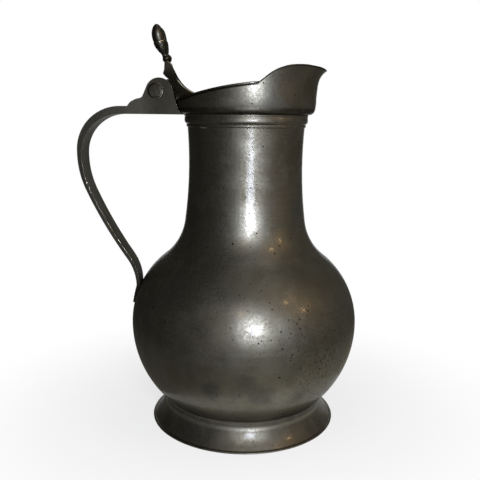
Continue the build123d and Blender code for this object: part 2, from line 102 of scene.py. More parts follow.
def put(tree, kind, settings=None, **inputs):
    """Adds a shader node, with its settings and inputs."""
    node = tree.nodes.new("ShaderNode" + kind)
    for name, value in (settings or {}).items():
        setattr(node, name, value)
    for name, value in inputs.items():
        join(tree, node.inputs[name.replace("_", " ")], value)
    return node


# %% Numbers
def calc(tree, operation, first, second=0.0):
    """The result of one sum."""
    node = put(tree, "Math", {"operation": operation})
    for socket, value in zip(node.inputs, (first, second)):
        join(tree, socket, value)
    return node.outputs[0]


def times(tree, first, *others):
    """Several values multiplied."""
    for value in others:
        first = calc(tree, "MULTIPLY", first, value)
    return first


def total(tree, first, *others):
    """Several values added up."""
    for value in others:
        first = calc(tree, "ADD", first, value)
    return first


def stretch(tree, value, low, high, start=0.0, end=1.0):
    """Spreads a value between low and high over start to end, smoothly."""
    node = put(tree, "MapRange", {"interpolation_type": "SMOOTHSTEP"})
    for name, number in (("From Min", low), ("From Max", high), ("To Min", start), ("To Max", end)):
        node.inputs[name].default_value = number
    join(tree, node.inputs["Value"], value)
    return node.outputs[0]


def axes(tree, place):
    """The X, Y and Z of a place."""
    parts = put(tree, "SeparateXYZ", Vector=place).outputs
    return parts["X"], parts["Y"], parts["Z"]


# %% Colours
def grey(level, warmth=0.0):
    """A colour between blue-grey (warmth below 0) and brown-grey (above 0)."""
    return (level * (1 + warmth), level, level * (1 - warmth), 1.0)


def aged(level, brown=0.0):
    """The olive grey of old pewter, browner where it is stained."""
    return (level * (1.035 + 0.45 * brown), level, level * (0.80 - 0.6 * brown), 1.0)


def tint(tree, amount, under, over):
    """One colour laid over another by an amount."""
    node = put(tree, "Mix", {"data_type": "RGBA"})
    for socket, value in zip((node.inputs[0], node.inputs[6], node.inputs[7]), (amount, under, over)):
        join(tree, socket, value)
    return node.outputs[2]


def layered(tree, colour, *layers):
    """A colour under layers, each an amount and a colour."""
    for amount, over in layers:
        colour = tint(tree, amount, colour, over)
    return colour


# %% [markdown]
# ## Outlines and objects
#
# Nearly every piece starts as an outline that is spun round an axis, as on a lathe, or pushed out flat.
# The bmesh tools for that take a line of joined vertices, and what they leave has still to become an
# object. Both steps repeat for each piece, so they get a helper each.


# %% Join points and make an object
def chain(work, points, closed=False):
    """Vertices joined one after the other, for a tool to spin or extrude."""
    corners = [work.verts.new(p) for p in points]
    following = corners[1:] + corners[:1] if closed else corners[1:]
    edges = [work.edges.new(pair) for pair in zip(corners, following)]
    return corners + edges


def show(work, name, material, sharp=40):
    """Makes an object of a bmesh, at the origin, shaded smooth except over edges sharper than an angle."""
    mesh = bpy.data.meshes.new(name)
    work.to_mesh(mesh)
    work.free()
    mesh.shade_smooth()
    mesh.set_sharp_from_angle(angle=radians(sharp))
    mesh.materials.append(material)
    thing = bpy.data.objects.new(name, mesh)
    scene.collection.objects.link(thing)
    print(name, len(mesh.vertices), "vertices")
    return thing


# %% [markdown]
# ## Floor and light
#
# Silver and pewter show their surroundings more than their own colour. A photographer keeps the paper
# white but hangs dark cloth round the set, so the metal stays dark and takes its shape from a few lights.
# The same is done here. The world and the paper are white where the camera and the metal look at them, and
# dimmer for soft light, so the paper keeps a shadow. A tent of dark cloth that only the metal sees stands
# round the table, open behind the flagon. Its hem lies on the paper just outside the foot, so that only a
# narrow ring of white shows in the metal.


# %% World
def seen_directly(tree):
    """1 for what the camera sees by itself, in metal or through glass, and 0 for soft light."""
    rays = put(tree, "LightPath").outputs
    mirrored = calc(tree, "MAXIMUM", rays["Is Camera Ray"], rays["Is Glossy Ray"])
    return calc(tree, "MAXIMUM", mirrored, rays["Is Transmission Ray"])


soft_light, white = grey(0.30), grey(1.0)
world = bpy.data.worlds.new("Paper and room")
scene.world = world
world.use_nodes = True
sky = world.node_tree
join(sky, sky.nodes["Background"].inputs["Color"], tint(sky, seen_directly(sky), soft_light, white))
print("world nodes:", len(sky.nodes))


# %% Paper
def blank(name):
    """A material with nothing but its output, and its node tree."""
    material = bpy.data.materials.new(name)
    material.use_nodes = True
    tree = material.node_tree
    tree.nodes.remove(tree.nodes["Principled BSDF"])
    return material, tree


def from_middle(tree, place):
    """How far a place is from the middle of the foot."""
    return put(tree, "VectorMath", {"operation": "LENGTH"}, Vector=place).outputs["Value"]


foot_edge, shadow_end = 0.06, 0.24
white_by_foot = 0.72
paper, sheet = blank("white paper")
far = from_middle(sheet, put(sheet, "TexCoord").outputs["Object"])
whiteness = stretch(sheet, far, foot_edge, shadow_end, white_by_foot, 1.0)
whiteness = times(sheet, seen_directly(sheet), whiteness)
shaded = put(sheet, "BsdfDiffuse", Color=grey(0.92, 0.005))
plain = put(sheet, "Emission", Color=white)
both = put(sheet, "MixShader")
for socket, value in zip(both.inputs, (whiteness, shaded.outputs[0], plain.outputs[0])):
    join(sheet, socket, value)
join(sheet, sheet.nodes["Material Output"].inputs["Surface"], both.outputs[0])

work = bmesh.new()
bmesh.ops.create_circle(work, cap_ends=True, radius=0.5, segments=96)
bmesh.ops.translate(work, verts=work.verts, vec=(0, 0, -0.3 * mm))
floor = show(work, "floor", paper)

# %% Dark cloth for the metal to reflect
cloth, weave = blank("dark cloth")
place = put(weave, "TexCoord").outputs["Object"]
to_the_right = axes(weave, place)[0]
under_flagon = stretch(weave, from_middle(weave, place), 0.08, 0.34, 0.42, 0.0)
under_flagon = times(weave, under_flagon, stretch(weave, to_the_right, -0.08, 0.1, 0.25, 1.0))
level = total(weave, under_flagon, stretch(weave, to_the_right, -0.6, 0.8, 0.05, 0.17))
glow = put(weave, "Emission", Color=(1.05, 1.0, 0.88, 1.0), Strength=level)
join(weave, weave.nodes["Material Output"].inputs["Surface"], glow.outputs[0])
print("cloth nodes:", len(weave.nodes))

# %% Hang the cloth
opening = radians(48)
hem = 0.088  # the hem lies a little further out in front on the right, by up to the drift
hem_drift = 0.018
drift_x, drift_y = 0.94, -0.34
fold = [(0.14, 0.0004), (0.24, 0.0004), (0.95, 0.0004), (0.95, 0.95), (0.1, 1.3)]
first_pole = Matrix.Rotation(pi / 2 + opening / 2, 4, "Z")
work = bmesh.new()
line = chain(work, [first_pole @ Vector((reach, 0, height)) for reach, height in fold])
bmesh.ops.spin(work, geom=line, angle=2 * pi - opening, steps=64, axis=(0, 0, 1), cent=(0, 0, 0))
for v in work.verts:
    reach = hypot(v.co.x, v.co.y)
    if reach < 0.2 and v.co.z < 0.1:
        drawn_in = (hem + hem_drift * (drift_x * v.co.x + drift_y * v.co.y) / reach) / reach
        v.co.x, v.co.y = v.co.x * drawn_in, v.co.y * drawn_in
tent = show(work, "tent", cloth)
tent.visible_camera = tent.visible_diffuse = tent.visible_shadow = tent.visible_transmission = False

# %% [markdown]
# ## Lamps
#
# One cool lamp stands just beside the camera and gives the long bright streak down the neck. A large faint
# one hangs over the table and softens the shadow. Three small warm ones give the brown glints on the belly
# and the hoop. Their places were worked out backwards from where each glint lies on the round belly.

# %% Lamps
aim = Vector((0, 0, 0.12))
belly_side = Vector((0.01, -0.07, 0.09))
candles = [(56, 41, 0.15), (71, 25, 0.15), (-4.5, 35, 0.09)]  # angle to the right, angle up, watts
candle_distance = 0.6


def lamp(name, place, watts, size, colour):
    """A round lamp that faces the flagon."""
    data = bpy.data.lights.new(name, "AREA")
    data.shape = "DISK"
    data.size = size
    data.energy = watts
    data.color = colour
    thing = bpy.data.objects.new(name, data)
    scene.collection.objects.link(thing)
    thing.location = place
    thing.rotation_euler = (Vector(place) - aim).to_track_quat("Z", "Y").to_euler()


def out_there(azimuth, elevation):
    """A place seen from the belly at an angle to the right of the camera and an angle up, in degrees."""
    a, e = radians(azimuth), radians(elevation)
    return belly_side + candle_distance * Vector((sin(a) * cos(e), -cos(a) * cos(e), sin(e)))


lamp("flash", (0.081, -0.45, 0.184), 1.5, 0.1, (0.93, 0.98, 1.16))
lamp("soft top", (0.15, -0.2, 0.8), 0.35, 0.5, (1.0, 0.98, 0.95))
for number, (azimuth, elevation, watts) in enumerate(candles):
    lamp(f"candle {number}", out_there(azimuth, elevation), watts, 0.01, (1.0, 0.62, 0.30))

# %% [markdown]
# ## Old pewter
#
# Pewter is a grey tin alloy. It was turned on a lathe, so fine rings run round it, and two centuries of
# use gave it a dull warm skin: clouds of darker and browner metal, and tiny black pits where the tin has
# rusted. Such a skin could be painted on an image, but patterns in space need no unwrapping, and run on
# unbroken from the bowl to the neck. So the finish is built in layers, each from one pattern. The pale
# rubbed look comes from a rough metal with a thin, smoother film over it, which keeps a lamp's spot bright
# in its middle and wide at its edge.


# %% Patterns
def clouds(tree, place, scale, detail=4.0, shift=0.0):
    """Soft irregular clouds, scale in clouds per metre."""
    moved = put(tree, "Mapping", Vector=place, Location=(shift, 1.7 * shift, 0.6 * shift)).outputs[0]
    return put(tree, "TexNoise", Vector=moved, Scale=scale, Detail=detail, Roughness=0.58).outputs["Fac"]


def lathe_rings(tree, place, fine):
    """Rings round the axis, as a turning tool leaves them: a pattern that changes with height only."""
    flat = put(tree, "Mapping", Vector=place, Scale=(1.2, 1.2, fine)).outputs[0]
    return put(tree, "TexNoise", Vector=flat, Scale=1.0, Detail=5.0, Roughness=0.72).outputs["Fac"]


def pits(tree, place, per_metre, size, share, shift=0.0):
    """Tiny round pits in a share of the cells of a cell pattern: 1 in a pit and 0 outside."""
    moved = put(tree, "Mapping", Vector=place, Location=(shift, shift, shift)).outputs[0]
    rough = put(tree, "TexNoise", Vector=moved, Scale=4 * per_metre, Detail=2.0).outputs["Fac"]
    cells = put(tree, "TexVoronoi", Vector=moved, Scale=per_metre)
    hole = calc(tree, "SUBTRACT", times(tree, rough, 2 * size), cells.outputs["Distance"])
    chosen = put(tree, "SeparateColor", Color=cells.outputs["Color"]).outputs[0]
    return times(tree, stretch(tree, hole, 0.0, 0.35 * size), calc(tree, "LESS_THAN", chosen, share))


def patterns(tree, place, seed, rings, pitted):
    """Every pattern of the finish by its name. The piece's own attribute says where it is worn."""
    fine = pits(tree, place, 300.0, 0.13, pitted, seed)
    wide = pits(tree, place, 120.0, 0.09, 0.8 * pitted, seed + 1)
    return {
        "big": clouds(tree, place, 19.0, 5.0, seed),
        "middle": clouds(tree, place, 85.0, 5.0, seed + 3),
        "grain": clouds(tree, place, 620.0, 3.0, seed + 9),
        "stain": stretch(tree, clouds(tree, place, 31.0, 6.0, seed + 7), 0.50, 0.68),
        "bluish": stretch(tree, clouds(tree, place, 26.0, 5.0, seed + 13), 0.54, 0.70),
        "dents": clouds(tree, place, 130.0, 2.0, seed),
        "dust": clouds(tree, place, 900.0, 3.0, seed),
        "lines": lathe_rings(tree, place, rings),
        "holes": calc(tree, "MAXIMUM", fine, wide),
        "worn": put(tree, "Attribute", {"attribute_name": "worn"}).outputs["Fac"],
    }


# %% Colour, roughness and height
def metal_colour(tree, made, tone, brown):
    """The colour of the metal before its dirt, pits and wear. tone is how light it is."""
    darkest, palest = aged(0.70 * tone, brown + 0.1), aged(1.16 * tone, brown)
    return layered(
        tree,
        tint(tree, stretch(tree, made["big"], 0.36, 0.66), darkest, palest),
        (stretch(tree, made["middle"], 0.42, 0.66, 0.0, 0.5), aged(1.38 * tone, brown - 0.03)),
        (times(tree, made["stain"], 0.55), aged(0.64 * tone, brown + 0.24)),
        (times(tree, made["bluish"], 0.4), (0.80 * tone, 0.84 * tone, 0.88 * tone, 1.0)),
        (stretch(tree, made["grain"], 0.3, 0.72, 0.0, 0.34), aged(0.62 * tone, brown)),
        (stretch(tree, made["lines"], 0.4, 0.62, 0.0, 0.24), aged(0.68 * tone, brown)),
    )


def dullness(tree, made, rough, rubbed_and_sheen):
    """The roughness: more in stains and pits, less where the metal is rubbed."""
    return total(
        tree,
        stretch(tree, made["big"], 0.3, 0.7, rough + 0.06, rough - 0.04),
        stretch(tree, made["grain"], 0.3, 0.7, -0.05, 0.05),
        times(tree, made["stain"], 0.09),
        times(tree, made["holes"], 0.3),
        times(tree, rubbed_and_sheen, -0.24),
    )


def relief(tree, made, ring_depth):
    """The surface's small ups and downs, as a bump. A height of 1 is 0.07 mm."""
    height = total(
        tree,
        times(tree, made["lines"], ring_depth),
        times(tree, made["dust"], 0.6),
        times(tree, made["dents"], 2.4),
        times(tree, made["holes"], -2.0),
    )
    return put(tree, "Bump", Height=height, Strength=0.5, Distance=0.07 * mm).outputs[0]


# %% Aged pewter
def pewter(
    name, tone=0.17, brown=0.0, rough=0.44, rings=420.0, ring_depth=0.5, pitted=0.25, seed=0.0, wear_and_sheen=2.2,
    edge=0.45, film=0.24, extra=None,
):
    """Aged pewter on Object coordinates.

    The wear number is how much paler rubbed metal is; set high, as on the cast parts, it also paints a
    highlight along the edges. edge is the shine at a glancing angle, film is how strong the thin film is,
    and extra adds to the colour of one part.
    """
    material = bpy.data.materials.new(name)
    material.use_nodes = True
    tree = material.node_tree
    place = put(tree, "TexCoord").outputs["Object"]
    made = patterns(tree, place, seed, rings, pitted)
    patchy = stretch(tree, made["middle"], 0.36, 0.6, 0.35, 0.9)
    rubbed_and_sheen = times(tree, stretch(tree, made["worn"], 0.0, 0.7), patchy)
    colour = metal_colour(tree, made, tone, brown)
    if extra:
        colour = extra(tree, place, colour)
    colour = layered(
        tree,
        colour,
        (times(tree, made["holes"], 0.9), grey(0.01, 0.1)),
        # rubbed edges paler, and on the cast parts so much paler that it is a painted highlight along them
        (rubbed_and_sheen, aged(wear_and_sheen * tone, brown)),
        (stretch(tree, made["worn"], 0.0, -0.6, 0.0, 0.8), aged(0.03, 0.2)),
    )
    bump = relief(tree, made, ring_depth)
    paleness = put(tree, "RGBToBW", Color=colour).outputs[0]
    shader = tree.nodes["Principled BSDF"]
    shader.inputs["Metallic"].default_value = 1.0
    shader.inputs["Specular Tint"].default_value = grey(edge)
    shader.inputs["Coat Roughness"].default_value = 0.14
    join(tree, shader.inputs["Base Color"], colour)
    join(tree, shader.inputs["Roughness"], dullness(tree, made, rough, rubbed_and_sheen))
    join(tree, shader.inputs["Normal"], bump)
    join(tree, shader.inputs["Coat Normal"], bump)
    join(tree, shader.inputs["Coat Weight"], stretch(tree, paleness, 0.01, 0.4 * tone, 0.0, film))
    print(name, len(tree.nodes), "nodes")
    return material


# %% [markdown]
# ## The belly and neck
#
# The turned body keeps its CAD shape, because a lathe makes exactly that. Its skin isn't the same all
# over. The lower belly is darker and mottled, with blue-black smudges, painted shade lies in the corner
# over the foot, and the pits crowd together low on the right. Single pits that stand out lie where the real
# ones are. Each of these is a patch worked out from the place on the body.

# %% Smudges and single pits, in millimetres
smudges = [  # place, size, strength
    ((-19, -71.4, 44.2), 10, 0.4), ((-36, -68.2, 55), 18, 0.2), ((-20, -72.7, 49), 8, 0.3),
    ((1.4, -76.4, 52), 10, 0.35), ((12, -72.7, 44), 12, 0.42), ((-5, -73.6, 44), 8, 0.25),
    ((36, -62, 41), 12, 0.3), ((28, -71.5, 60), 14, 0.2),
]
deep_pits = [  # place, size
    ((2.3, -38.7, 189.7), 0.9), ((10.9, -37.3, 195.1), 0.8), ((3.5, -39, 169), 0.9),
    ((6.9, -38.4, 171), 0.7), ((2.8, -40.3, 153), 0.8), ((-13.8, -36.7, 168.6), 0.7),
    ((19.2, -42.7, 127.6), 1.0), ((22.8, -38.6, 131.7), 0.8), ((3.8, -44.4, 132), 0.6),
    ((15.6, -68, 102.3), 0.8), ((22.7, -73.6, 85.9), 1.0), ((23.7, -75.1, 75.6), 1.0),
    ((39.4, -61.9, 95.7), 0.9), ((34.2, -66.9, 91.7), 0.9), ((-7.8, -75.8, 88.7), 0.8),
    ((16.6, -76.2, 81.3), 0.8), ((5.6, -77.3, 83.8), 0.7), ((22.4, -74.2, 56.9), 1.1),
    ((-6.4, -77.6, 81.8), 0.7), ((2.5, -72.3, 98.2), 0.6), ((-1.9, -74, 44.7), 0.8),
    ((10.9, -77.3, 81.3), 0.7), ((27.6, -69.7, 92.2), 0.7), ((29.7, -73.1, 71.1), 0.8),
]
print(len(smudges), "smudges and", len(deep_pits), "single pits")


# %% Smudged lower belly
def blot(tree, place, spot, size):
    """A soft patch on the surface, 1 in its middle. Spot and size are in millimetres."""
    away = put(tree, "VectorMath", {"operation": "DISTANCE"})
    join(tree, away.inputs[0], place)
    join(tree, away.inputs[1], Vector(spot) * mm)
    return stretch(tree, away.outputs["Value"], size * mm, 0.25 * size * mm)


def wavered(tree, place, reach):
    """A place moved about by clouds, so that a patch there gets a ragged edge."""
    noisy = put(tree, "TexNoise", Vector=place, Scale=130.0, Detail=4.0, Roughness=0.6).outputs["Color"]
    shift = put(tree, "Mapping", Vector=noisy, Location=(-reach,) * 3, Scale=(2 * reach,) * 3).outputs[0]
    moved = put(tree, "VectorMath", {"operation": "ADD"})
    join(tree, moved.inputs[0], place)
    join(tree, moved.inputs[1], shift)
    return moved.outputs[0]


def smudged(tree, place, colour):
    """A darker lower belly, with painted shade in the corner over the foot, and the smudges."""
    x, _, z = axes(tree, place)
    # Painted shade in the corner over the foot, weaker in front where the belly's bottom mirrors the
    # flange's bright spot.
    beside = stretch(tree, calc(tree, "ABSOLUTE", x), 0.008, 0.036, 0.25, 1.0)
    shade_over_foot = times(tree, beside, stretch(tree, z, 0.034, 0.0215, 0.0, 0.8))
    low = stretch(tree, z, 0.095, 0.035, 0.0, 0.4)
    colour = layered(tree, colour, (low, aged(0.135, 0.18)), (shade_over_foot, aged(0.03, 0.25)))
    ragged = wavered(tree, place, 6 * mm)
    for spot, size, strength in smudges:
        amount = times(tree, blot(tree, ragged, spot, size), strength)
        colour = tint(tree, amount, colour, grey(0.035, -0.02))
    return colour


# %% Pitted side
def pitted_side(tree, place, colour):
    """Fine dark mottle and a swarm of pits on the lower right, and the single pits."""
    x, _, z = axes(tree, place)
    low_right = times(tree, stretch(tree, x, 0.02, 0.045), stretch(tree, z, 0.09, 0.06))
    mottle = stretch(tree, clouds(tree, place, 520.0, 5.0, 8.0), 0.46, 0.62, 0.0, 0.5)
    fine, wide = pits(tree, place, 420.0, 0.2, 0.8, 5.0), pits(tree, place, 190.0, 0.12, 0.75, 6.0)
    swarm = times(
        tree,
        calc(tree, "MAXIMUM", fine, wide),
        stretch(tree, x, -0.02, 0.04, 0.0, 0.9),
        stretch(tree, z, 0.112, 0.088),
        stretch(tree, z, 0.03, 0.06, 0.3, 1.0),
        stretch(tree, clouds(tree, place, 60.0, 3.0, 2.0), 0.34, 0.56),
    )
    mottled = times(tree, mottle, low_right)
    colour = layered(tree, colour, (mottled, aged(0.045, 0.15)), (swarm, grey(0.01, 0.1)))
    for spot, size in deep_pits:
        colour = tint(tree, times(tree, blot(tree, place, spot, size), 0.92), colour, grey(0.008, 0.1))
    return colour


# %% Dark inside
def crusted_inside(tree, place, colour):
    """A darker crust on the faces that look towards the axis."""
    inward = put(tree, "VectorMath", {"operation": "DOT_PRODUCT"})
    join(tree, inward.inputs[0], put(tree, "TexCoord").outputs["Normal"])
    join(tree, inward.inputs[1], put(tree, "Mapping", Vector=place, Scale=(1, 1, 0)).outputs[0])
    inside = stretch(tree, inward.outputs["Value"], -0.002, -0.008)
    patchy = stretch(tree, clouds(tree, place, 90.0, 5.0, 4.0), 0.4, 0.65)
    return tint(tree, inside, colour, tint(tree, patchy, aged(0.05, 0.08), aged(0.11, 0.05)))


def body_skin(tree, place, colour):
    """All that the body has over plain pewter."""
    for layer in (smudged, pitted_side, crusted_inside):
        colour = layer(tree, place, colour)
    return colour


# %% Body finish
body_finish = pewter("body pewter", rough=0.46, pitted=0.22, seed=1.0, extra=body_skin)
for name in ("lower_bowl", "upper_body", "base_disc"):
    frame["nodes"][name].material_slots[0].material = body_finish

# %% [markdown]
# ## The other finishes
#
# The other parts are the same metal, with other numbers. The foot, the hoop and the mouth piece were
# turned, so they have rings. The handle, the hinge and the thumbpiece were only cast, and are darker, with
# pale rubbed edges, painted paler still as a highlight. Painted shade darkens the places that lie in shade:
# under the swell of the mouth piece, on the foot's drum and in the hinge. It is no piece of its own, but a
# layer of colour between two heights.

# %% Heights in millimetres
neck_top = round(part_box("neck_ring")[1][2] / mm, 3)
mouth_shade_top = 218.8
drum_bottom, above_foot = 13.6, 30.0
pale_line_height = 13.0
print("the neck ends at", neck_top, "mm")


# %% Painted shade in corners
def painted_shade_band(low, high, strength, front=1.0, line=None):
    """Painted shade between two heights, less of it in front if front is below 1, and a paler line at a
    height.
    """

    def layer(tree, place, colour):
        x, _, z = axes(tree, place)
        shade_amount = times(
            tree,
            stretch(tree, z, (high + 0.8) * mm, (high - 1.0) * mm, 0.0, strength),
            stretch(tree, z, (low - 0.5) * mm, (low + 0.3) * mm),
            stretch(tree, clouds(tree, place, 160.0, 4.0, 3.0), 0.25, 0.6, 0.6, 1.0),
            stretch(tree, calc(tree, "ABSOLUTE", x), 0.008, 0.034, front, 1.0),
        )
        colour = tint(tree, shade_amount, colour, aged(0.035, 0.18))
        if line:
            off = calc(tree, "ABSOLUTE", calc(tree, "SUBTRACT", z, line * mm))
            colour = tint(tree, stretch(tree, off, 1.8 * mm, 0.4 * mm, 0.0, 0.6), colour, aged(0.25))
        return colour

    return layer


def hinge_painted_shade(tree, place, colour):
    """Painted shade in the hinge, between the ears and the mouth, darker towards the mouth."""
    x, _, z = axes(tree, place)
    amount = times(tree, stretch(tree, x, -0.074, -0.057, 0.0, 0.8), stretch(tree, z, 0.247, 0.238))
    return tint(tree, amount, colour, aged(0.022, 0.2))


# %% Other finishes
# Painted shade just above the hoop, under the swell of the mouth piece, where its wall turns under.
mouth_painted_shade = painted_shade_band(neck_top, mouth_shade_top, 0.8)
# Painted shade on the foot's drum, weaker in front, and a paler line along the corner of drum and flange.
foot_painted_shade = painted_shade_band(drum_bottom, above_foot, 0.75, front=0.25, line=pale_line_height)
ring_finish = pewter("ring pewter", rings=900.0, pitted=0.12, seed=2.0)
collar_finish = pewter("mouth pewter", pitted=0.2, seed=3.0, wear_and_sheen=1.1, film=0.12, extra=mouth_painted_shade)
foot_finish = pewter("foot pewter", tone=0.155, rings=600.0, pitted=0.2, seed=4.0, extra=foot_painted_shade)
# The cast parts' rounded edges are painted much paler, as a highlight on top of their rubbed wear.
cast_finish = pewter(
    "cast pewter", tone=0.09, brown=0.03, rough=0.42, rings=2.0, ring_depth=0.0, pitted=0.15, seed=5.0,
    wear_and_sheen=8.0, edge=0.3, film=0.05, extra=hinge_painted_shade,
)
lid_finish = pewter("lid pewter", tone=0.1, rings=2.0, ring_depth=0.0, pitted=0.15, seed=6.0)
finishes = {
    "neck_ring": ring_finish,
    "mouth_collar": collar_finish,
    "foot_ring": foot_finish,
    "handle": cast_finish,
    "hinge_pin": cast_finish,
    "pin_washer_near": cast_finish,
    "pin_washer_far": cast_finish,
    "lid_lug": cast_finish,
    "lid_plate": lid_finish,
    "thumbpiece": cast_finish,
}
for name, finish in finishes.items():
    frame["nodes"][name].material_slots[0].material = finish

# %% [markdown]
# ## Softened edges
#
# The handle, the hinge's lug, the washers and the lid came from moulds and were filed by hand, so none of
# their edges is sharp. Their shapes are right as they are in the CAD model, and modelling them again would
# gain nothing. A copy of each is merged into one skin, its flat faces are joined again, and a bevel rounds
# the edges that are sharper than an angle. Each vertex also notes how sharply the surface turns there,
# because ridges get rubbed bright and grooves fill with dirt. On the cast parts the ridges are painted
# paler still, as a highlight.


# %% Note the wear
def clamp(value):
    """A number kept between 0 and 1."""
    return min(1.0, max(0.0, value))


def mark_wear(work, only=None):
    """Notes on each vertex, or only inside some faces, 1 on a sharp ridge down to -1 in a sharp groove."""
    layer = work.verts.layers.float.get("worn") or work.verts.layers.float.new("worn")
    for v in work.verts:
        if v.link_faces and (only is None or all(f in only for f in v.link_faces)):
            turns = [degrees(e.calc_face_angle_signed(0.0)) for e in v.link_edges if e.is_manifold]
            most = max(turns, key=abs, default=0.0)
            v[layer] = clamp((abs(most) - 8) / 14) * (1 if most > 0 else -1)


# %% Soften a cast part
def soften(node, name, finish, body, width, sharp=35, segments=3, flat=True):
    """A copy of a CAD part. Edges sharper than an angle are rounded to a width in millimetres."""
    work = bmesh.new()
    work.from_mesh(frame["nodes"][node].data)
    bmesh.ops.remove_doubles(work, verts=work.verts, dist=1e-6)
    if flat:
        bmesh.ops.dissolve_limit(
            work, angle_limit=radians(0.6), verts=work.verts, edges=work.edges, use_dissolve_boundaries=False
        )
    edges = [e for e in work.edges if e.is_manifold and e.calc_face_angle(0) > radians(sharp)]
    made = bmesh.ops.bevel(
        work, geom=edges, offset=width * mm, offset_type="OFFSET", segments=segments, profile=0.5,
        affect="EDGES", clamp_overlap=True, material=-1,
    )
    mark_wear(work, set(made["faces"]))
    thing = show(work, name, finish, sharp=50)
    if flat:
        even = thing.modifiers.new("flat faces stay flat", "WEIGHTED_NORMAL")
        even.keep_sharp = True
    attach(thing, body)
    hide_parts(node)


soften("handle", "strap_handle", cast_finish, "vessel", 0.95, segments=5)
soften("lid_lug", "hinge_lug", cast_finish, "lid", 0.35)
soften("lid_plate", "lid", lid_finish, "lid", 0.25, flat=False)
soften("pin_washer_near", "near_washer", cast_finish, "vessel", 0.18, sharp=30)
soften("pin_washer_far", "far_washer", cast_finish, "vessel", 0.18, sharp=30)

# %% [markdown]
# ## The thumbpiece
#
# A thumb presses this casting to raise the lid. It is a wedge that narrows into a neck, a rounded knop,
# and two acorns side by side, each in its cup. It could be sculpted as one lump, but each part has one view
# that says nearly all. For the wedge that is its side, drawn with a few points and pushed out to its width,
# then drawn in towards the neck. Knop and acorns were turned in the mould maker's pattern, so they are
# outlines spun round their own axes, and the cups get a pattern of small scales.

# %% Measures of the thumbpiece
pin = Vector(frame["joints"][0]["pos_m"])
pin_to_neck = 17.6 * mm
foot_half = 11.4 * mm
neck_half = 4.75 * mm
waist_half = 1.2 * neck_half
foot_up, waist_up = 0.02, 0.7  # heights on the wedge, in the height from pin to neck
back_lean = radians(15)
splay = radians(15)
print("hinge pin at", [round(v / mm, 2) for v in pin], "mm")


def from_pin(x, z):
    """A point beside the pin, counted in the height from pin to neck."""
    return pin + pin_to_neck * Vector((x, 0, z))


# %% Wedge from its side view
wedge_side = [
    (0.79, -0.318), (0.758, -0.057), (0.692, 0.07), (0.627, 0.199), (0.537, 0.325), (0.452, 0.443),
    (0.33, 0.54), (0.24, 0.64), (0.285, 0.79), (0.29, 0.9), (0.292, 1.02), (0.33, 1.12), (0.43, 1.12),
    (0.545, 1.02), (0.6, 0.87), (0.69, 0.70), (0.785, 0.52), (0.905, 0.35), (1.045, 0.2), (1.2, 0.08),
    (1.37, -0.01), (1.55, -0.10),
]
work = bmesh.new()
outline = chain(work, [from_pin(*p) for p in wedge_side], closed=True)
side_face = bmesh.ops.contextual_create(work, geom=outline)["faces"]
bmesh.ops.translate(work, verts=work.verts, vec=(0, -1, 0))
for across in (-0.8, -0.4, 0.0, 0.4, 0.8, 1.0):
    grown = bmesh.ops.extrude_face_region(work, geom=side_face)["geom"]
    side_face = [f for f in grown if isinstance(f, bmesh.types.BMFace)]
    for v in [v for v in grown if isinstance(v, bmesh.types.BMVert)]:
        v.co.y = across
bmesh.ops.recalc_face_normals(work, faces=work.faces)
print("wedge:", len(work.faces), "faces before it is drawn in")

# %% Draw the wedge in and round its edges
front_starts = from_pin(0.45, 0).x
swept_back = 0.5 * mm  # by how much the front's two edges lie behind its middle
for v in work.verts:
    up = (v.co.z - pin.z) / pin_to_neck
    half = foot_half + (waist_half - foot_half) * clamp((up - foot_up) / (waist_up - foot_up))
    half += (neck_half - waist_half) * clamp((up - waist_up) / (1 - waist_up))
    across = v.co.y
    v.co.y = across * half
    v.co.x -= swept_back * across**2 * clamp(3 * (v.co.x - front_starts) / pin_to_neck)
rim = [e for e in work.edges if e.is_manifold and e.calc_face_angle(0) > radians(38)]
rounded = bmesh.ops.bevel(
    work, geom=rim, offset=0.7 * mm, offset_type="OFFSET", segments=4, profile=0.5, affect="EDGES",
    clamp_overlap=True, material=-1,
)
mark_wear(work, set(rounded["faces"]))
print("wedge:", len(work.faces), "faces")


# %% Turn an outline
def curve(points, count):
    """A smooth line through points of two coordinates, sampled evenly from each to the next."""
    sampled = []
    last = len(points) - 1
    for i in range(count + 1):
        t = i / count * last
        k = min(int(t), last - 1)
        p0, p1, p2, p3 = (points[min(max(j, 0), last)] for j in (k - 1, k, k + 1, k + 2))
        u = t - k
        sampled.append(tuple(
            0.5 * (2 * b + (c - a) * u + (2 * a - 5 * b + 4 * c - d) * u**2 + (3 * b - a - 3 * c + d) * u**3)
            for a, b, c, d in zip(p0, p1, p2, p3)
        ))
    return sampled


def turned(work, outline, steps=48, closed=False):
    """Spins an outline of (radius, height) in millimetres round the Z axis, and returns its vertices."""
    before = set(work.verts)
    line = chain(work, [(r * mm, 0, h * mm) for r, h in outline], closed)
    bmesh.ops.spin(
        work, geom=line, angle=2 * pi, steps=steps, axis=(0, 0, 1), cent=(0, 0, 0), use_merge=True
    )
    made = [v for v in work.verts if v not in before]
    bmesh.ops.remove_doubles(work, verts=made, dist=1e-6)
    return [v for v in work.verts if v not in before]


# %% Knop
knop_outline = [(0, -3.1), (2.3, -2.8), (4.8, -1.7), (5.9, 0), (4.8, 1.7), (2.3, 2.8), (0, 3.1)]
knop_half_height, knop_half_width = 3.1, 5.9
knop = turned(work, curve(knop_outline, 30))
squeeze = Matrix.Diagonal((knop_half_height / knop_half_width, 1.0, 1.0, 1.0))  # as thin as it is high
leaning = Matrix.Rotation(-back_lean, 4, "Y")
bmesh.ops.transform(work, verts=knop, matrix=Matrix.Translation(from_pin(0.378, 1.2)) @ leaning @ squeeze)
print("knop:", len(knop), "vertices")

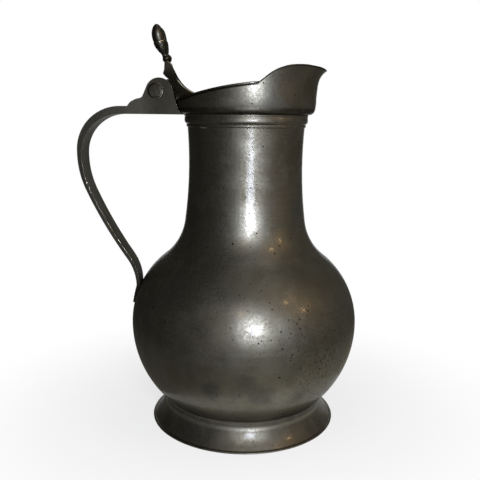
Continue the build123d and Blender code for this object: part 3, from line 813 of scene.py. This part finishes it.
# %% Acorns
cup = [(1.9, -2.2), (2.05, 0.0), (2.75, 1.6), (3.5, 3.9), (4.0, 6.0), (4.15, 7.6), (4.1, 8.4), (3.88, 8.7)]
nut = [
    (3.8, 8.9), (3.95, 9.8), (4.0, 11.4), (3.9, 13.4), (3.5, 15.4), (2.8, 17.1), (1.8, 18.5), (0.8, 19.2),
    (0, 19.4),
]
acorn_length = nut[-1][1]
scales_low, scales_high = 1.2, 8.2
scales_round = 9
scale_slant = 1.5
scale_depth = 0.06
bow = 0.9 * mm
acorn_gap = 3.3 * mm
for side in (-1, 1):
    acorn = turned(work, curve(cup, 34) + curve(nut, 34))
    for v in acorn:
        height, reach = v.co.z / mm, hypot(v.co.x, v.co.y)
        if scales_low < height < scales_high and reach > 2 * mm:
            half_turns = scales_round * atan2(v.co.y, v.co.x) / 2
            climb = scale_slant * height
            bead = abs(sin(half_turns + climb)) * abs(sin(half_turns - climb))
            fade = sin(pi * (height - scales_low) / (scales_high - scales_low))
            swell = 1 + scale_depth * (bead - 0.4) * fade
            v.co.x, v.co.y = v.co.x * swell, v.co.y * swell
        v.co.x -= bow * sin(pi * clamp(height / acorn_length))
    stand = Matrix.Translation(from_pin(0.3, 1.375) + Vector((0, side * acorn_gap, 0)))
    bmesh.ops.transform(
        work, verts=acorn, matrix=stand @ leaning @ Matrix.Rotation(-side * splay, 4, "X")
    )
    mark_wear(work, {f for v in acorn for f in v.link_faces})
thumb = show(work, "acorn_thumbpiece", cast_finish, sharp=35)
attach(thumb, "lid")
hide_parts("thumbpiece")

# %% [markdown]
# ## The rivet
#
# The hinge turns on a soft pewter rivet. Its ends were hammered over the washers, which left two low, flat
# heads with a soft rim and a few dents. A cylinder with a bevel would give the rim but not its shape, so
# it is one outline spun round, laid along the hinge and doubled, and noise dents its heads.

# %% Rivet
half_rivet = [
    (1.95, 0), (1.95, 11.8), (4.6, 11.86), (4.74, 12.1), (4.64, 12.4), (4.3, 12.62), (3.6, 12.72),
    (1.8, 12.76), (0, 12.77),
]
head_from = 12.1 * mm
dent_depth = 0.05 * mm
work = bmesh.new()
half = turned(work, curve(half_rivet, 48))
bmesh.ops.transform(work, verts=half, matrix=Matrix.Rotation(pi / 2, 4, "X"))
twin = bmesh.ops.duplicate(work, geom=work.verts[:] + work.edges[:] + work.faces[:])["geom"]
other = [v for v in twin if isinstance(v, bmesh.types.BMVert)]
bmesh.ops.transform(work, verts=other, matrix=Matrix.Rotation(pi, 4, "Z"))
bmesh.ops.remove_doubles(work, verts=work.verts, dist=1e-6)
bmesh.ops.recalc_face_normals(work, faces=work.faces)
for v in work.verts:
    if abs(v.co.y) > head_from:
        dent = noise.noise(v.co * 420) + 0.5 * noise.noise(v.co * 900)
        v.co.y -= dent_depth * dent * (1 if v.co.y > 0 else -1)
bmesh.ops.translate(work, verts=work.verts, vec=pin)
mark_wear(work)
rivet = show(work, "hinge_rivet", cast_finish, sharp=60)
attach(rivet, "vessel")
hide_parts("hinge_pin")

# %% [markdown]
# ## The foot
#
# The foot was cast and then turned: a rolled lip on the table, a groove over it, a hollow flange and a
# short drum with a thread of solder where it meets the belly. The outline is spun again here with more
# points than the CAD model has, so that the lip, the groove and the solder are rounded, and the lip gets
# the small knocks of its age.

# %% Foot
outer = [
    (64.6, 0.0), (65.0, 0.06), (65.2, 0.26), (65.12, 0.62), (64.8, 0.95), (64.3, 1.2), (63.85, 1.28),
    (63.62, 1.2), (63.4, 1.34), (62.4, 2.5), (61.0, 4.2), (59.7, 6.0), (58.5, 8.0), (57.5, 10.0),
    (56.75, 11.8), (56.25, 13.1), (55.98, 14.3), (55.9, 16.6), (56.0, 17.4), (56.25, 18.0), (56.65, 18.6),
]
inner = [(53.7, 17.0), (53.6, 15.0), (53.6, 12.8), (55.09, 8.45), (57.67, 2.56), (61.98, 0.0)]
lip_from = 62.5 * mm
knock_depth = 0.16 * mm
unevenness = 0.05 * mm
work = bmesh.new()
turned(work, curve(outer, 120) + curve(inner, 24), steps=240, closed=True)
bmesh.ops.recalc_face_normals(work, faces=work.faces)
for v in work.verts:
    reach = hypot(v.co.x, v.co.y)
    lip = clamp((reach - lip_from) / (2 * mm))
    knock = knock_depth * lip * max(0.0, noise.noise(v.co * 95) - 0.12) + unevenness * noise.noise(v.co * 40)
    v.co.x, v.co.y = v.co.x * (1 - knock / reach), v.co.y * (1 - knock / reach)
mark_wear(work)
foot = show(work, "turned_foot", foot_finish, sharp=50)
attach(foot, "vessel")
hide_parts("foot_ring")

# %% [markdown]
# ## The hoop round the neck
#
# A moulded hoop hides the joint between the neck and the mouth piece. From the top it has a narrow rounded
# edge, a band that swells a little, a hollow and a round bead. A ring for each would leave seams between
# them, so one outline, spun round the axis, gives them all.

# %% Hoop
hoop_outline = [  # radius, and height counted from the top of the neck
    (39.5, 0.0), (41.2, 0.0), (41.7, -0.12), (41.9, -0.42), (41.88, -0.85), (41.68, -1.2), (41.62, -1.6),
    (41.72, -2.3), (41.78, -3.1), (41.78, -4.0), (41.66, -4.8), (41.32, -5.5), (40.75, -6.0), (40.4, -6.35),
    (40.38, -6.75), (40.5, -7.15), (40.52, -7.6), (40.4, -8.0), (40.1, -8.3), (39.85, -8.43), (39.5, -8.45),
]
work = bmesh.new()
turned(work, [(r, neck_top + h) for r, h in curve(hoop_outline, 120)], steps=192, closed=True)
bmesh.ops.recalc_face_normals(work, faces=work.faces)
mark_wear(work)
hoop = show(work, "neck_hoop", ring_finish, sharp=60)
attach(hoop, "vessel")
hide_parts("neck_ring")

# %% [markdown]
# ## The mouth and its spout
#
# This casting takes the most skill. Its wall stands on the hoop, swells out and in again like the side of
# a barrel, and its front is drawn out to a spout between two raised wings. It could be pulled into shape
# from a cylinder by hand, but its swell and its rim show at once when they are uneven. So three curves
# describe it: how wide the wall is at each height, how far the spout stands out at each height, and the
# line of the rim in side view. A flat grid is wrapped round them: each column goes up the outside to the
# rim, over it and down the inside.

# %% The wall and the rim in side view, in millimetres
wall_points = [  # radius, and height above the neck
    (42.0, 0.0), (43.4, 0.25), (44.6, 0.75), (45.6, 1.7), (46.25, 3.1), (46.62, 5.0), (46.85, 7.0),
    (46.94, 9.0), (46.95, 11.0), (46.9, 13.5), (46.7, 17.0), (46.45, 22.0), (46.35, 34.0),
]
wing_points = [  # distance towards the spout, and height above the neck
    (6.0, 18.5), (9.9, 21.25), (13.6, 24.1), (17.0, 26.3), (21.1, 28.2), (27, 30), (34.3, 30.9), (42.1, 31),
    (54.8, 29.6), (75, 22.6),
]
wall_line = curve(wall_points, 220)
wing_line = curve([(x, neck_top + h) for x, h in wing_points], 240)

back_end, wing_start = (-47.05, neck_top + 7.5), wing_line[0]
arc_bulge = 1.5
along, rising = wing_start[0] - back_end[0], wing_start[1] - back_end[1]
chord = hypot(along, rising)
arc_radius = chord**2 / (8 * arc_bulge) + arc_bulge / 2
to_centre = (arc_radius - arc_bulge) / chord
arc_centre = (
    (back_end[0] + wing_start[0]) / 2 + to_centre * rising,
    (back_end[1] + wing_start[1]) / 2 - to_centre * along,
)
print("the rim's arc has a radius of", round(arc_radius), "mm")

# %% The shape at an angle
spout_foot, spout_rise = 11.4, 18.2
flare_length = 3.6
nose_half, wing_angle, wing_half = 27, 66, 26


def lookup(line, value, key):
    """Reads a sampled curve: the other coordinate where the coordinate number key has a value."""
    for a, b in zip(line, line[1:]):
        if value <= b[key]:
            t = 0 if b[key] == a[key] else (value - a[key]) / (b[key] - a[key])
            return a[1 - key] + max(0.0, t) * (b[1 - key] - a[1 - key])
    return line[-1][1 - key]


def mouth_radius(angle, rise):
    """Outside radius at an angle from the spout and a height above the neck."""
    away = abs((angle + 180) % 360 - 180)
    grown = max(0.0, rise - spout_foot) / spout_rise
    flare = max(0.0, exp((rise - spout_foot - spout_rise) / flare_length) - exp(-spout_rise / flare_length))
    nose = (1.47 * grown + 0.6 * clamp(grown) + 6.28 * flare) * exp(-((away / nose_half) ** 1.7))
    wings = 1.7 * grown**2 * exp(-(((away - wing_angle) / wing_half) ** 2))
    leaning_out = 0.115 * (rise - 11.3) * clamp(rise / 4) * sin(radians(away)) ** 2
    return lookup(wall_line, rise, 1) + nose + wings + leaning_out


def rim_rise(angle):
    """Height of the rim above the neck at an angle, where the wall meets the rim's line in side view."""
    rise = 15.0
    for _ in range(40):
        x = mouth_radius(angle, rise) * cos(radians(angle))
        if x > wing_start[0]:
            z = lookup(wing_line, x, 0)
        else:
            z = arc_centre[1] + sqrt(arc_radius**2 - (x - arc_centre[0]) ** 2)
        rise += 0.5 * (z - neck_top - rise)
    return rise


print("rim above the neck, every 30 degrees:", [round(rim_rise(a), 1) for a in range(0, 181, 30)])

# %% One column of the grid for each angle
around, up, down = 288, 44, 26
crowding = 1.35  # above 1, the rows lie closer together at the hoop, where the wall turns most
wall = 1.8
rounding = 0.7
seat = [(39.2, 1.75), (38.3, 1.6), (38.07, 1.2), (38.07, 0.0), (40.0, 0.0)]
columns = []
for k in range(around):
    angle = 360 * k / around
    top = rim_rise(angle) - rounding
    heights = [top * (j / up) ** crowding for j in range(up + 1)]
    column = [(mouth_radius(angle, rise), rise) for rise in heights]
    outside, inside = column[-1][0], mouth_radius(angle, top - wall) - wall
    middle, half = (outside + inside) / 2, (outside - inside) / 2
    for a in (25, 50, 75, 105, 130, 155):
        column.append((middle + half * cos(radians(a)), top + rounding * sin(radians(a))))
    for j in range(down + 1):
        rise = top + (wall - top) * j / down
        column.append((mouth_radius(angle, rise - wall) - wall, rise))
    way = (cos(radians(angle)), sin(radians(angle)))
    columns.append([Vector((r * way[0], r * way[1], neck_top + h)) * mm for r, h in column + seat])
rows = len(columns[0])
print(around, "columns of", rows, "points")

# %% Wrap the grid
work = bmesh.new()
bmesh.ops.create_grid(work, x_segments=around, y_segments=rows, size=0.5)
for v in work.verts:
    k, j = round((v.co.x + 0.5) * around), round((v.co.y + 0.5) * rows)
    v.co = columns[k % around][j % rows]
bmesh.ops.remove_doubles(work, verts=work.verts, dist=1e-6)
bmesh.ops.recalc_face_normals(work, faces=work.faces)
mark_wear(work)
worn = work.verts.layers.float["worn"]
# Painted dark reflection: the rim's rounded top edge gets the dark groove colour instead of rubbed paleness.
rim_ridge_darkening = 0.8  # this rim is dark along its ridges and not rubbed pale, so they count as grooves
for v in work.verts:
    v[worn] = min(v[worn], -rim_ridge_darkening * v[worn])
mouth = show(work, "spouted_mouth", collar_finish, sharp=60)
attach(mouth, "vessel")
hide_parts("mouth_collar")

# %% [markdown]
# ## A trace of solder
#
# Where the hoop was soldered to the neck, a thread of solder ran out and was wiped flat. It is paler than
# the old skin beside it. Paint on the neck would do from afar, but solder stands out a little from the
# metal. So a sphere is flattened to a streak and bent round the neck.

# %% Solder
solder_finish = pewter(
    "solder", tone=0.9, brown=-0.25, rough=0.3, rings=2.0, ring_depth=0.0, pitted=0.05, seed=8.0
)
smear_middle, smear_half = -133.5, 4.6
neck_radius, smear_height = 40.0, 206.2
work = bmesh.new()
bmesh.ops.create_uvsphere(work, u_segments=48, v_segments=16, radius=1.0)
for v in work.verts:
    along = v.co.x
    thick = 1 + 0.35 * noise.noise(Vector((3 * along, 0, 0)))
    angle = radians(smear_middle + smear_half * along)
    reach = (neck_radius + 0.4 * thick * v.co.y) * mm
    height = (smear_height + 0.5 * thick * v.co.z - 0.25 * along**2) * mm
    v.co = Vector((reach * cos(angle), reach * sin(angle), height))
bmesh.ops.recalc_face_normals(work, faces=work.faces)
smear = show(work, "solder_trace", solder_finish, sharp=180)
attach(smear, "vessel")
